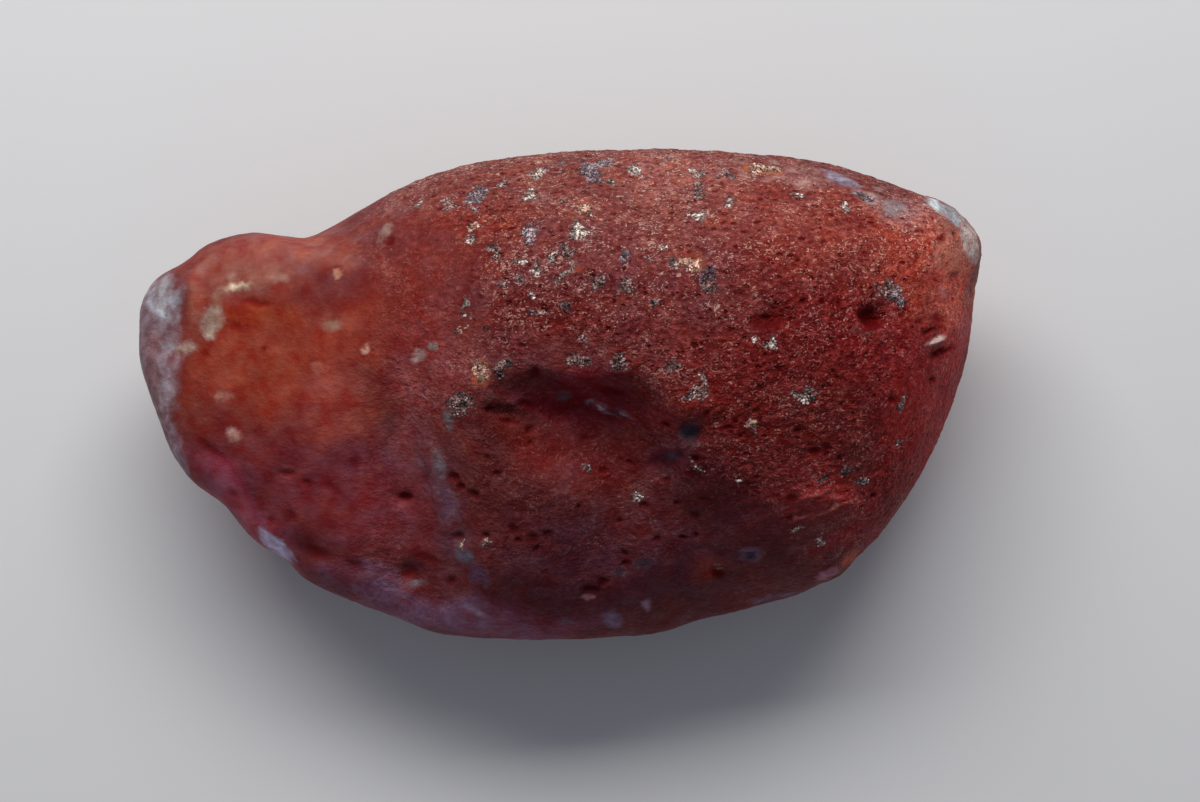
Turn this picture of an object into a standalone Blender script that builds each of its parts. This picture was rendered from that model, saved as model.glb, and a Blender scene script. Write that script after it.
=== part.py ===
"""A raw red agate pebble, carnelian with a frosted, pitted skin, built as one solid stone.

Run it with blender --background --python part.py, or from Blender's text editor.
The stone lies on its flat underside. +X runs from the narrow knob to the broad end, +Y to the long
straight shoulder, +Z up, and the origin is under the middle of its bounding box, on the ground.
"""

import math

import bmesh
import bpy
import numpy as np
from mathutils import Vector, noise

MM = 0.001

# Driving dimensions of the whole stone.
LENGTH = 34.0 * MM
WIDTH = 19.9 * MM
MEAN_RIM_HEIGHT = 5.6 * MM
FACE_LIMIT = 9300

# The outline of the stone from above, in millimetres from the middle, clockwise from the knob's tip.
OUTLINE_MM = [
    (-17.0, 2.4), (-16.9, 3.7), (-16.3, 4.7), (-15.2, 5.3), (-14.4, 6.0), (-13.3, 6.4), (-12.0, 6.5),
    (-10.5, 6.2), (-9.1, 6.8), (-7.6, 7.6), (-6.1, 8.5), (-4.6, 9.1), (-3.3, 9.5), (0.0, 9.9),
    (2.8, 9.95), (5.6, 9.9), (8.4, 9.7), (10.5, 9.4), (12.1, 8.9), (13.9, 8.2), (15.3, 7.7),
    (16.3, 6.9), (17.0, 5.9), (16.9, 4.9), (16.7, 3.8), (16.8, 2.2), (16.6, 0.9), (15.6, -1.9),
    (13.4, -4.9), (11.95, -6.45), (11.2, -7.4), (10.4, -7.7), (9.3, -8.2), (5.7, -9.1), (3.5, -9.8),
    (-0.6, -9.95), (-2.9, -9.9), (-5.1, -9.7), (-7.4, -8.8), (-10.2, -7.5), (-11.1, -6.6),
    (-12.4, -5.8), (-13.6, -4.4), (-14.9, -3.5), (-15.8, -2.4), (-16.3, -1.1), (-17.0, 1.2),
]
PLAN_CENTRE_MM = (0.6, 0.0)

# Where the top would reach before it rounds over to the rim: x, y, height and reach of each swell.
CROWN_MM = {
    "broad bulge": (8.2, 3.0, 13.8, 4.6),
    "broad end": (14.2, 3.2, 12.2, 3.2),
    "shoulder": (0.6, 5.2, 13.4, 4.0),
    "upper flank": (-4.8, 4.4, 12.2, 3.4),
    "neck": (-9.4, 2.6, 10.4, 3.0),
    "knob": (-14.0, 2.4, 9.8, 2.8),
    "lower shelf": (-9.4, -3.8, 9.6, 3.6),
    "lower lobe": (0.0, -5.4, 11.0, 3.6),
    "lower right flank": (8.8, -4.8, 11.6, 3.2),
}
# Where the underside would reach before it rounds up to the rim. Below zero it is cut flat.
KEEL_MM = {
    "resting place": (1.4, 0.2, -0.8, 3.6),
    "under the broad end": (12.4, 2.0, 0.4, 3.2),
    "under the shelf": (-7.6, -2.0, 0.6, 3.0),
    "under the knob": (-14.2, 2.2, 1.8, 2.4),
}
# How boxy the top and the underside are where the stone is FULLNESS_SPAN wide: 2 is an ellipse.
TOP_FULLNESS = 2.3
UNDERSIDE_FULLNESS = 2.2
FULLNESS_SPAN_MM = 9.5

# Broad worn faces of the sides and the underside: a point on each, and the way it looks.
WORN_FACES_MM = {
    "back of the shoulder": ((3.0, 9.1, 9.4), (0.05, 0.80, 0.60)),
    "back underside": ((4.0, 7.9, 2.2), (0.22, 0.64, -0.74)),
    "back of the neck": ((-6.0, 7.9, 8.4), (-0.10, 0.80, 0.59)),
    "front underside": ((-1.0, -7.6, 2.0), (-0.15, -0.62, -0.77)),
    "front flank": ((5.0, -8.0, 8.4), (0.20, -0.74, 0.64)),
    "broad end's face": ((15.2, -0.5, 7.4), (0.88, -0.30, 0.36)),
    "under the broad end": ((13.4, 3.0, 2.0), (0.62, 0.15, -0.77)),
    "under the neck": ((-11.0, 1.6, 1.5), (-0.42, 0.12, -0.90)),
}
FACE_EDGE_ROUNDING_MM = 0.55

# Dents of the sides, the back and the underside: bearing and elevation in degrees from the middle of
# the stone, then reach and depth. They leave the rim, the widest line round the stone, as it is.
SIDE_DENTS_MM = {
    "dish in the back": (62, -24, 3.4, 0.8),
    "chip on the back": (112, -20, 1.5, 0.55),
    "bite in the back underside": (96, -46, 2.4, 0.7),
    "pit of the back": (134, -26, 0.9, 0.45),
    "chip behind the knob": (163, -22, 1.8, 0.5),
    "bite under the knob": (186, -38, 2.0, 0.55),
    "hollow in front": (256, -26, 3.0, 0.7),
    "chip in front": (296, -20, 1.6, 0.5),
    "pit of the front": (228, -24, 1.0, 0.45),
    "bite in the front underside": (280, -46, 2.2, 0.6),
    "chip on the broad end": (346, -24, 1.9, 0.5),
    "bite under the broad end": (10, -36, 2.2, 0.6),
}
RIM_GUARD = (0.05, 0.28)


def smoothstep(low, high, value):
    """0 below low, 1 above high, and a smooth rise between."""
    share = np.clip((value - low) / (high - low), 0.0, 1.0)
    return share * share * (3.0 - 2.0 * share)


def bump(distance):
    """1 at the middle of a round feature, falling smoothly to 0 at a distance of one radius."""
    return np.clip(1.0 - distance * distance, 0.0, None) ** 2


def closed_curve(points, steps=14):
    """A smooth closed curve through the points, by Catmull-Rom."""
    rows = []
    count = len(points)
    for i in range(count):
        before, start, end, after = (np.array(points[(i + k) % count]) for k in (-1, 0, 1, 2))
        for step in range(steps):
            t = step / steps
            rows.append(
                0.5
                * (
                    2 * start
                    + (end - before) * t
                    + (2 * before - 5 * start + 4 * end - after) * t**2
                    + (3 * start - before - 3 * end + after) * t**3
                )
            )
    return np.array(rows)


def plan_radius(angle, outward):
    """Distance from the plan centre to the outline, in millimetres, for each plan angle.

    The small turns of the outline belong to the rim, so they fade out towards the middle of the stone.
    """
    ring = closed_curve(OUTLINE_MM) - np.array(PLAN_CENTRE_MM)
    bearings = np.arctan2(ring[:, 1], ring[:, 0])
    order = np.argsort(bearings)
    every_degree = np.radians(np.arange(-180, 180))
    sharp = np.interp(every_degree, bearings[order], np.hypot(*ring[order].T), period=2 * math.pi)
    window = np.exp(-0.5 * (np.arange(-36, 37) / 13.0) ** 2)
    soft = np.convolve(np.tile(sharp, 3), window / window.sum(), "same")[360:720]
    at_rim = np.interp(angle, every_degree, sharp, period=2 * math.pi)
    inside = np.interp(angle, every_degree, soft, period=2 * math.pi)
    return inside + (at_rim - inside) * smoothstep(0.6, 1.0, outward)


def rim_height(angle):
    """Height in millimetres of the widest line round the stone, which wanders up and down."""
    return MEAN_RIM_HEIGHT / MM + 0.55 * np.sin(angle - 0.5) + 0.35 * np.sin(2 * angle + 1.2)


def blend_heights(landmarks, x, y):
    """Height at each point, as the nearness-weighted mean of the named swells."""
    total = np.zeros_like(x)
    weights = np.full_like(x, 1e-9)
    for centre_x, centre_y, height, reach in landmarks.values():
        near = np.exp(-((x - centre_x) ** 2 + (y - centre_y) ** 2) / (2 * reach**2))
        total += near * height
        weights += near
    return total / weights


def along_line(x, y, start, end):
    """Share of the way from start to end, and the distance to the right-hand side of that line."""
    start, end = np.array(start), np.array(end)
    length = np.hypot(*(end - start))
    ahead = (end - start) / length
    share = ((x - start[0]) * ahead[0] + (y - start[1]) * ahead[1]) / length
    side = (x - start[0]) * ahead[1] - (y - start[1]) * ahead[0]
    return share, side


def wander(places, size, reach):
    """The same places shifted a little by a smooth noise, so that what is drawn by them meanders."""
    shift = np.array([noise.noise_vector(Vector(place) / size) for place in places])
    return places + reach * shift


def scoop(x, y):
    """The hollow in the middle: a steep wall under the shoulder, and a floor that climbs back slowly."""
    depth = 1.9
    half_length = 3.9
    wall_start, wall_foot, floor_end = -0.9, 0.6, 4.8
    tilt = math.radians(-11)
    across_x, across_y = x - 1.0, y + 0.1
    along = across_x * math.cos(tilt) + across_y * math.sin(tilt)
    down = across_x * math.sin(tilt) - across_y * math.cos(tilt)
    drop = smoothstep(wall_start, wall_foot, down) * (1 - smoothstep(wall_foot, floor_end, down))
    return depth * drop * bump(along / half_length)


def ledge(x, y, start, end, drop, rise, fade):
    """A step down on the right-hand side of a line, which dies out again over the fade distance."""
    share, side = along_line(x, y, start, end)
    ends = smoothstep(-0.1, 0.25, share) * (1 - smoothstep(0.75, 1.1, share))
    return drop * ends * smoothstep(-rise, rise, side) * (1 - smoothstep(rise, fade, side))


# Pits and small hollows of the top: x, y, half length, half width, depth, and turn in degrees.
PITS_MM = {
    "deep pit": (12.0, 2.95, 0.85, 0.5, 0.55, -30),
    "wide dimple": (8.25, 2.85, 0.95, 0.6, 0.4, 0),
    "crystal pocket": (5.05, -1.5, 0.6, 0.6, 0.4, 0),
    "dent by the pocket": (4.2, -2.8, 1.1, 0.6, 0.4, 20),
    "crevice under the lip": (-2.2, -0.7, 0.9, 0.35, 0.4, -15),
    "round pit of the shelf": (-6.0, -7.1, 0.8, 0.7, 0.34, 0),
    "long pit of the shelf": (-6.3, -4.1, 0.75, 0.4, 0.3, 0),
    "twin pit of the shelf": (-9.4, -6.3, 1.4, 0.7, 0.2, -20),
    "small pit of the shelf": (-10.9, -3.1, 0.6, 0.5, 0.18, 0),
    "edge crevice": (15.3, 1.6, 1.0, 0.35, 0.4, 20),
    "pit of the lobe": (-4.0, -5.6, 0.6, 0.5, 0.25, 30),
    "pit by the lower edge": (1.3, -8.0, 0.9, 0.45, 0.22, 0),
    "pit of the lower flank": (6.3, -6.9, 0.8, 0.5, 0.25, -20),
    "groove on the knob": (-12.6, 3.9, 1.3, 0.5, 0.25, -10),
}
# Small swells that stand proud: the same sizes, with a height.
SWELLS_MM = {
    "chip in the hollow": (1.6, -0.45, 0.9, 0.5, 0.55, -15),
    "lump on the flank": (10.9, -4.4, 2.4, 0.8, 0.35, -12),
    "lip of the pocket": (5.3, -0.5, 1.4, 0.6, 0.25, 0),
    "brow of the shoulder": (-6.9, 6.2, 1.3, 0.7, 0.35, 35),
    "edge swell": (9.6, -6.9, 1.6, 0.7, 0.35, 20),
    "knob brow": (-15.0, 4.2, 1.0, 0.7, 0.3, 60),
}


def spots(features, x, y):
    """The summed height of the oval features at each point."""
    total = np.zeros_like(x)
    for centre_x, centre_y, half_length, half_width, height, turn in features.values():
        cos_turn, sin_turn = math.cos(math.radians(turn)), math.sin(math.radians(turn))
        along = (x - centre_x) * cos_turn + (y - centre_y) * sin_turn
        across = (y - centre_y) * cos_turn - (x - centre_x) * sin_turn
        total += height * bump(np.hypot(along / half_length, across / half_width))
    return total


def relief_of_top(x, y):
    """Everything that the top has besides its swells: the hollow, the two ledges, pits and lumps."""
    bent_x, bent_y = wander(np.column_stack((x, y, 0 * x)), size=3.2, reach=0.9).T[:2]
    return (
        spots(SWELLS_MM, x, y)
        - scoop(bent_x, bent_y)
        - ledge(bent_x, bent_y, start=(3.0, -1.0), end=(10.6, -8.4), drop=1.0, rise=1.3, fade=6.5)
        - ledge(bent_x, bent_y, start=(-5.4, 1.5), end=(-3.4, -9.2), drop=0.65, rise=1.1, fade=6.0)
        - spots(PITS_MM, x, y)
    )


def stone_surface(directions):
    """Points of the stone in millimetres for unit directions from its middle."""
    across, along, up = directions.T
    angle = np.arctan2(along, across)
    outward = np.hypot(across, along)
    radius = plan_radius(angle, outward)
    x = PLAN_CENTRE_MM[0] + outward * radius * np.cos(angle)
    y = PLAN_CENTRE_MM[1] + outward * radius * np.sin(angle)
    rim = rim_height(angle)
    span = radius / FULLNESS_SPAN_MM
    top_dome = np.sqrt(np.clip(1 - outward ** (TOP_FULLNESS * span), 0, None))
    under_dome = np.sqrt(np.clip(1 - outward ** (UNDERSIDE_FULLNESS * span), 0, None))
    top = rim + (blend_heights(CROWN_MM, x, y) - rim) * top_dome
    top += relief_of_top(x, y) * smoothstep(0.0, 0.35, top_dome)
    under = rim - (rim - blend_heights(KEEL_MM, x, y)) * under_dome
    return np.column_stack((x, y, np.where(up > 0, top, under)))


def wear_flat(points):
    """Presses the points beyond each worn face back on to it, with a rounded edge round the face."""
    soft = FACE_EDGE_ROUNDING_MM
    for place, facing in WORN_FACES_MM.values():
        normal = np.array(facing) / np.linalg.norm(facing)
        beyond = (points - np.array(place)) @ normal
        points = points - np.outer(soft * np.logaddexp(0.0, beyond / soft), normal)
    return points


def dent_sides(points, directions):
    """Sinks each named dent of the sides and the underside, round the point that its aim meets."""
    bent = wander(points, size=2.2, reach=1.1)
    sunk = np.zeros(len(points))
    for bearing, elevation, reach, depth in SIDE_DENTS_MM.values():
        turn, rise = math.radians(bearing), math.radians(elevation)
        aim = np.array((math.cos(turn) * math.cos(rise), math.sin(turn) * math.cos(rise), math.sin(rise)))
        centre = bent[np.argmax(directions @ aim)]
        sunk += depth * bump(np.linalg.norm(bent - centre, axis=1) / reach)
    sunk *= smoothstep(*RIM_GUARD, np.abs(directions[:, 2]))
    return points - sunk[:, None] * directions


def roughen(points, directions):
    """Moves each point in or out by a coarse and a fine lumpiness, less at the rim than on the faces."""
    coarse_size, coarse_height = 5.0, 0.34
    fine_size, fine_height = 1.9, 0.13
    side_share = 0.45
    moved = np.empty_like(points)
    for i, (point, direction) in enumerate(zip(points, directions)):
        spot = Vector(point)
        lump = coarse_height * noise.noise(spot / coarse_size) + fine_height * noise.noise(spot / fine_size)
        strength = side_share + (1 - side_share) * abs(direction[2])
        moved[i] = point + lump * strength * direction
    return moved


def box_grid(cells):
    """A cube's mesh cut into a grid, with more cells along the stone's longer sides."""
    mesh = bmesh.new()
    bmesh.ops.create_cube(mesh, size=2.0)
    for axis, count in enumerate(cells):
        running = [e for e in mesh.edges if abs((e.verts[0].co - e.verts[1].co)[axis]) > 0.01]
        bmesh.ops.subdivide_edges(mesh, edges=running, cuts=count - 1, use_grid_fill=True)
    return mesh


def cube_to_sphere(corners):
    """Unit directions for points on a cube, spread evenly over the sphere."""
    squares = corners**2
    return np.column_stack(
        [
            corners[:, i]
            * np.sqrt(1 - squares[:, j] / 2 - squares[:, k] / 2 + squares[:, j] * squares[:, k] / 3)
            for i, j, k in ((0, 1, 2), (1, 2, 0), (2, 0, 1))
        ]
    )


def stand_on_ground(mesh):
    """Cuts the underside flat at the ground, and centres the stone over the origin."""
    everything = mesh.verts[:] + mesh.edges[:] + mesh.faces[:]
    cut = bmesh.ops.bisect_plane(
        mesh, geom=everything, dist=1e-7, plane_co=(0, 0, 0), plane_no=(0, 0, -1), clear_outer=True
    )
    loop = [e for e in cut["geom_cut"] if isinstance(e, bmesh.types.BMEdge)]
    bmesh.ops.contextual_create(mesh, geom=loop)
    for axis, size in ((0, LENGTH), (1, WIDTH)):
        places = [v.co[axis] for v in mesh.verts]
        low, high = min(places), max(places)
        for vertex in mesh.verts:
            vertex.co[axis] = (vertex.co[axis] - (low + high) / 2) * size / (high - low)
    bmesh.ops.recalc_face_normals(mesh, faces=mesh.faces)


def carnelian():
    """Red chalcedony with a frosted, waxy skin."""
    material = bpy.data.materials.new("carnelian agate")
    material.use_nodes = True
    shader = material.node_tree.nodes["Principled BSDF"]
    shader.inputs["Base Color"].default_value = (0.27, 0.045, 0.028, 1)
    shader.inputs["Roughness"].default_value = 0.55
    shader.inputs["IOR"].default_value = 1.54
    return material


def make_pebble(collection):
    """The agate: a gridded cube drawn out to the stone's form, thinned to large faces where it is plain."""
    grid = box_grid(cells=(104, 60, 34))
    directions = cube_to_sphere(np.array([v.co for v in grid.verts], dtype=float))
    points = wear_flat(stone_surface(directions))
    points = roughen(dent_sides(points, directions), directions)
    for vertex, point in zip(grid.verts, points):
        vertex.co = Vector(point) * MM
    fine_mesh = bpy.data.meshes.new("agate fine")
    grid.to_mesh(fine_mesh)
    face_count = 2 * len(grid.faces)
    grid.free()

    stone = bpy.data.objects.new("agate", fine_mesh)
    collection.objects.link(stone)
    thin = stone.modifiers.new("thin out", "DECIMATE")
    thin.ratio = FACE_LIMIT / face_count
    thin.use_collapse_triangulate = True
    evaluated = stone.evaluated_get(bpy.context.evaluated_depsgraph_get())
    thinned = bmesh.new()
    thinned.from_mesh(evaluated.to_mesh())
    evaluated.to_mesh_clear()
    stand_on_ground(thinned)
    mesh = bpy.data.meshes.new("agate")
    thinned.to_mesh(mesh)
    thinned.free()

    stone.modifiers.clear()
    stone.data = mesh
    bpy.data.meshes.remove(fine_mesh)
    mesh.materials.append(carnelian())
    mesh.shade_smooth()
    mesh.set_sharp_from_angle(angle=math.radians(50))
    return stone


def main():
    for old in list(bpy.data.objects):
        bpy.data.objects.remove(old, do_unlink=True)
    collection = bpy.data.collections.new("agate")
    bpy.context.scene.collection.children.link(collection)
    make_pebble(collection)


main()
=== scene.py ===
import math

import bmesh
import bpy
import numpy as np
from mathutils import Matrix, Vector, noise


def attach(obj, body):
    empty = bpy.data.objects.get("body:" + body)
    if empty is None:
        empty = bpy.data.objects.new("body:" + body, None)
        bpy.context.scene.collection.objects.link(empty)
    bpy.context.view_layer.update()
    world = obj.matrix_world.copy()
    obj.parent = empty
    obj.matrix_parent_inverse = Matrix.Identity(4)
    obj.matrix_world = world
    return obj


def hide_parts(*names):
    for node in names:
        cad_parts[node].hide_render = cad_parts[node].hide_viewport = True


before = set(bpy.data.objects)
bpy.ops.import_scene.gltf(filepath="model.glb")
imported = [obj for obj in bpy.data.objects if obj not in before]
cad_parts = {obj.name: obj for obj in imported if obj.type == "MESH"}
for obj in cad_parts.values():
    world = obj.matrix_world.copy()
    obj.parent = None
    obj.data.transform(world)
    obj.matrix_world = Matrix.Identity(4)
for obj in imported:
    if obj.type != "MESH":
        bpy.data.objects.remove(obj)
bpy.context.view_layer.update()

# The stone's form. One lump of red chalcedony (carnelian), broken from its vein and rolled in gravel
# until its corners were round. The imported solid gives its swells, hollow, ledges and large pits, and
# here it gets a mesh fine enough for the wear that a close look shows.

MM = 0.001
SKIN_CELL = 0.09 * MM
MELT_ROUNDS = 20


def merged_copy(name, node):
    """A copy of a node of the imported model, with its loose triangles joined."""
    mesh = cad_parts[node].data.copy()
    mesh.materials.clear()
    joined = bmesh.new()
    joined.from_mesh(mesh)
    bmesh.ops.remove_doubles(joined, verts=joined.verts, dist=0.005 * MM)
    joined.to_mesh(mesh)
    joined.free()
    piece = bpy.data.objects.new(name, mesh)
    bpy.context.scene.collection.objects.link(piece)
    return piece


def apply_modifiers(piece):
    """Turns what the piece's modifiers make into its own plain mesh."""
    graph = bpy.context.evaluated_depsgraph_get()
    mesh = bpy.data.meshes.new_from_object(piece.evaluated_get(graph))
    piece.modifiers.clear()
    old = piece.data
    piece.data = mesh
    bpy.data.meshes.remove(old)


pebble = merged_copy("pebble", "agate")
regrid = pebble.modifiers.new("fine even cells", "REMESH")
regrid.mode = "VOXEL"
regrid.voxel_size = SKIN_CELL
melt = pebble.modifiers.new("melt the facets", "SMOOTH")
melt.factor = 0.5
melt.iterations = MELT_ROUNDS
apply_modifiers(pebble)


# Chips, pits and crevices with crisp edges, each where it is on the real stone. They were left where
# grains fell out or where blows broke the skin, and they lie over the soft forms of the solid.

# x, y, half length, half width and depth in millimetres, then the turn in degrees.
LARGE_PITS = {
    "deep pit": (12.0, 2.95, 0.62, 0.38, 0.34, -34),
    "wide dimple": (8.0, 2.75, 0.72, 0.36, 0.12, 0),
    "crystal pocket": (5.05, -1.45, 0.44, 0.42, 0.18, 0),
    "dent by the pocket": (4.1, -2.5, 0.75, 0.34, 0.12, 18),
    "round pit of the shelf": (-6.0, -7.1, 0.42, 0.4, 0.08, 0),
    "long pit of the shelf": (-6.1, -4.05, 0.4, 0.18, 0.14, 0),
    "diagonal pit of the shelf": (-5.2, -6.5, 0.75, 0.2, 0.06, -20),
    "twin pit, left": (-9.7, -6.3, 0.62, 0.32, 0.06, -20),
    "twin pit, right": (-8.2, -6.8, 0.5, 0.24, 0.06, -25),
    "first red spot of the shelf": (-10.74, -3.09, 0.34, 0.17, 0.08, -5),
    "second red spot of the shelf": (-10.04, -3.43, 0.26, 0.15, 0.08, -10),
    "third red spot of the shelf": (-8.86, -3.72, 0.55, 0.22, 0.05, -35),
    "fourth red spot of the shelf": (-10.68, -4.82, 0.32, 0.26, 0.05, -20),
    "fifth red spot of the shelf": (-11.51, -5.03, 0.24, 0.2, 0.05, 0),
    "red streak by the left edge": (-13.83, -2.17, 0.95, 0.24, 0.05, -38),
    "red spot by the left edge": (-13.02, -3.95, 0.34, 0.24, 0.05, -40),
    "red spot over the shelf": (-8.05, -2.64, 0.26, 0.3, 0.04, 0),
    "crevice of the broad end": (15.08, 1.67, 0.7, 0.18, 0.26, 18),
    "crevice over the lens": (14.58, 2.53, 0.6, 0.12, 0.16, 20),
    "pit of the lobe": (-4.1, -3.25, 0.32, 0.18, 0.16, 0),
    "second pit of the lobe": (-3.86, -3.63, 0.26, 0.16, 0.14, 0),
    "third pit of the lobe": (-3.32, -3.87, 0.32, 0.17, 0.15, -40),
    "pit by the lower edge": (1.2, -7.7, 0.5, 0.2, 0.12, 0),
    "pit of the lower flank": (6.3, -7.1, 0.42, 0.25, 0.16, -20),
    "groove on the knob": (-11.96, 3.65, 0.72, 0.17, 0.08, -5),
    "first red spot of the knob": (-12.75, 2.73, 0.3, 0.22, 0.04, 0),
    "second red spot of the knob": (-11.64, 1.75, 0.16, 0.14, 0.05, 0),
    "third red spot of the knob": (-14.02, 1.61, 0.24, 0.14, 0.04, -20),
    "dent by the pale streak": (-6.65, 6.01, 0.26, 0.2, 0.12, 50),
    "long pit of the hollow": (-1.95, -1.02, 0.42, 0.15, 0.15, -10),
    "crack of the hollow": (-1.19, -0.39, 0.48, 0.15, 0.12, -8),
    "shade over the chip": (1.98, 0.13, 0.7, 0.16, 0.1, -12),
}
# x and y in millimetres of single small pits, each wider than it is tall.
SMALL_PITS = [
    (12.42, 4.87), (11.04, 4.95), (9.36, 3.58), (10.13, 3.59), (10.81, 3.5), (13.94, 2.79),
    (14.8, 2.95), (14.78, 5.71), (15.02, 6.12), (13.93, 5.1), (15.55, 4.67), (6.9, 3.96),
    (6.61, 2.4), (8.51, 0.93), (7.76, 0.18), (9.58, -0.01), (9.24, -1.35), (9.94, -2.17),
    (10.38, -2.12), (10.94, -2.51), (12.34, -4.01), (9.03, -4.06), (14.68, 0.58), (12.96, -0.2),
    (11.31, 1.42), (6.5, -1.25), (7.03, -1.63), (5.67, -0.68), (4.17, -1.16), (-2.71, -0.59),
    (-0.88, 0.85), (-1.09, -1.36), (-1.09, -1.84), (1.02, -1.75), (1.7, -2.91), (2.76, -2.62),
    (-2.44, -3.09), (-2.82, -2.41), (0.73, -4.35), (3.35, -4.37), (4.6, -4.27), (5.29, -4.76),
    (5.4, -5.55), (2.38, -4.95), (3.84, -5.65), (4.81, -5.65), (2.57, -6.24), (2.58, -6.64),
    (1.7, -7.43), (-0.92, -6.02), (-0.43, -5.43), (-1.01, -5.62), (-1.59, -5.72), (-1.78, -5.28),
    (-3.96, -5.57), (-2.86, -5.53), (4.21, -3.29), (5.33, -2.5), (7.52, 8.77), (-4.29, -7.37),
]
# Their half length and depth in millimetres.
SMALL_PIT_LENGTH = 0.19
SMALL_PIT_DEPTH = 0.11
PIT_SEED = 3
# x, y, half length, half width and height, then the turn: what stands proud of the skin.
PROUD_CHIPS = {
    "chip in the hollow": (1.6, -0.45, 0.48, 0.2, 0.18, -22),
    "second chip in the hollow": (2.5, -0.75, 0.24, 0.15, 0.14, -20),
    "lens on the broad end": (14.81, 2.13, 0.52, 0.15, 0.22, 22),
    "streak over the neck": (-6.87, 6.42, 0.42, 0.18, 0.1, 60),
    "sliver of the lower edge": (10.83, -7.05, 0.6, 0.22, 0.15, 30),
    "ridge of the flank": (10.7, -4.3, 2.2, 0.55, 0.09, -10),
    "first streak of the flank": (10.1, -3.87, 0.9, 0.1, 0.07, 16),
    "second streak of the flank": (11.11, -4.28, 0.8, 0.09, 0.06, 18),
    "seam between knob and body": (-4.75, -3.6, 0.45, 2.6, 0.12, 14),
}
EDGE_WANDER = 0.1
EDGE_WANDER_SIZE = 0.5
WANDER_SEED = 5
# Where the wall of a pit, its tint and the side of a chip begin and end, as shares of the oval's size.
PIT_WALL = (0.1, 1.15)
PIT_TINT = (0.45, 1.4)
SMALL_PIT_TINT = (0.4, 1.4)
CHIP_SIDE = (0.3, 1.1)
# The tint of a shallow pit and the most that a deep one has: wet red with painted shade, darker the deeper
# the pit.
LEAST_TINT = 0.75
MOST_TINT = 0.95


def smooth_rise(low, high, value):
    """0 below low, 1 above high, and a smooth rise between."""
    share = np.clip((value - low) / (high - low), 0.0, 1.0)
    return share * share * (3.0 - 2.0 * share)


def read_points(mesh, what="co"):
    """The mesh's vertex places or normals as an array, places in millimetres."""
    numbers = np.empty(len(mesh.vertices) * 3, dtype=np.float32)
    mesh.vertices.foreach_get(what, numbers)
    rows = numbers.reshape(-1, 3).astype(float)
    return rows / MM if what == "co" else rows


def write_points(mesh, points):
    """Puts places in millimetres back on the mesh, none below the ground."""
    points = points.copy()
    points[:, 2] = np.maximum(points[:, 2], 0.0)
    mesh.vertices.foreach_set("co", (points * MM).astype(np.float32).ravel())
    mesh.update()


def wander(points, size, reach):
    """The places shifted by a smooth noise of that size, so that edges drawn by them are uneven."""
    shift = np.array([noise.noise_vector(Vector(point) / size) for point in points])
    return points + reach * shift


def oval_cover(points, x, y, half_length, half_width, turn, soft_from, soft_to):
    """1 inside an oval on the plan and 0 outside it, fading between these shares of its size."""
    cos_turn, sin_turn = math.cos(math.radians(turn)), math.sin(math.radians(turn))
    right, up = points[:, 0] - x, points[:, 1] - y
    along = (right * cos_turn + up * sin_turn) / half_length
    across = (up * cos_turn - right * sin_turn) / half_width
    return 1 - smooth_rise(soft_from, soft_to, np.hypot(along, across))


def keep(mesh, name, numbers):
    """Stores one number, or three, for each vertex under a name that a node tree can read."""
    kind, slot = ("FLOAT", "value") if numbers.ndim == 1 else ("FLOAT_VECTOR", "vector")
    store = mesh.attributes.new(name, kind, "POINT")
    store.data.foreach_set(slot, numbers.astype(np.float32).ravel())


noise.seed_set(WANDER_SEED)
points = read_points(pebble.data)
normals = read_points(pebble.data, "normal")
uneven = wander(points, size=EDGE_WANDER_SIZE, reach=EDGE_WANDER)
facing_up = smooth_rise(0.05, 0.3, normals[:, 2])
relief = np.zeros(len(points))
sunk = np.zeros(len(points))
# Each pit's tint is wet red and painted shade, darker the deeper the pit.
for x, y, half_length, half_width, depth, turn in LARGE_PITS.values():
    oval = (x, y, half_length, half_width, turn)
    relief -= depth * oval_cover(uneven, *oval, *PIT_WALL)
    sunk = np.maximum(sunk, min(MOST_TINT, LEAST_TINT + depth) * oval_cover(uneven, *oval, *PIT_TINT))
chance = np.random.default_rng(PIT_SEED)
for x, y in SMALL_PITS:
    half_length = SMALL_PIT_LENGTH * chance.uniform(0.55, 1.45)
    half_width = half_length * chance.uniform(0.6, 0.95)
    oval = (x, y, half_length, half_width, chance.uniform(-20, 20))
    relief -= SMALL_PIT_DEPTH * oval_cover(uneven, *oval, *PIT_WALL)
    sunk = np.maximum(sunk, chance.uniform(0.6, 1.0) * oval_cover(uneven, *oval, *SMALL_PIT_TINT))
for x, y, half_length, half_width, height, turn in PROUD_CHIPS.values():
    relief += height * oval_cover(uneven, x, y, half_length, half_width, turn, *CHIP_SIDE)
write_points(pebble.data, points + (relief * facing_up)[:, None] * normals)
keep(pebble.data, "sunk", sunk * facing_up)


# The frosted skin. Rolling in gravel struck small percussion pits all over the chalcedony, some deep
# and single, most of them shallow, wider than tall and so close that the skin looks like orange peel.

PIT_SPACING = 0.95 * MM
PIT_DEPTH = 0.19 * MM
# The least and the most radius of a pit, as shares of the spacing, and how much of a radius is floor.
PIT_RADII = (0.15, 0.36)
PIT_FLOOR = 0.35
PIT_BEND = 0.26 * MM
PIT_BEND_SIZE = 0.45 * MM
CROWD_SIZE = 2.6 * MM
PEEL_SIZE = 0.4 * MM
PEEL_DEPTH = 0.095 * MM
SWELL_SIZE = 1.7 * MM
SWELL_HEIGHT = 0.09 * MM
SKIN_SEED = 7
SKIN_TRIANGLES = 194000
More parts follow.
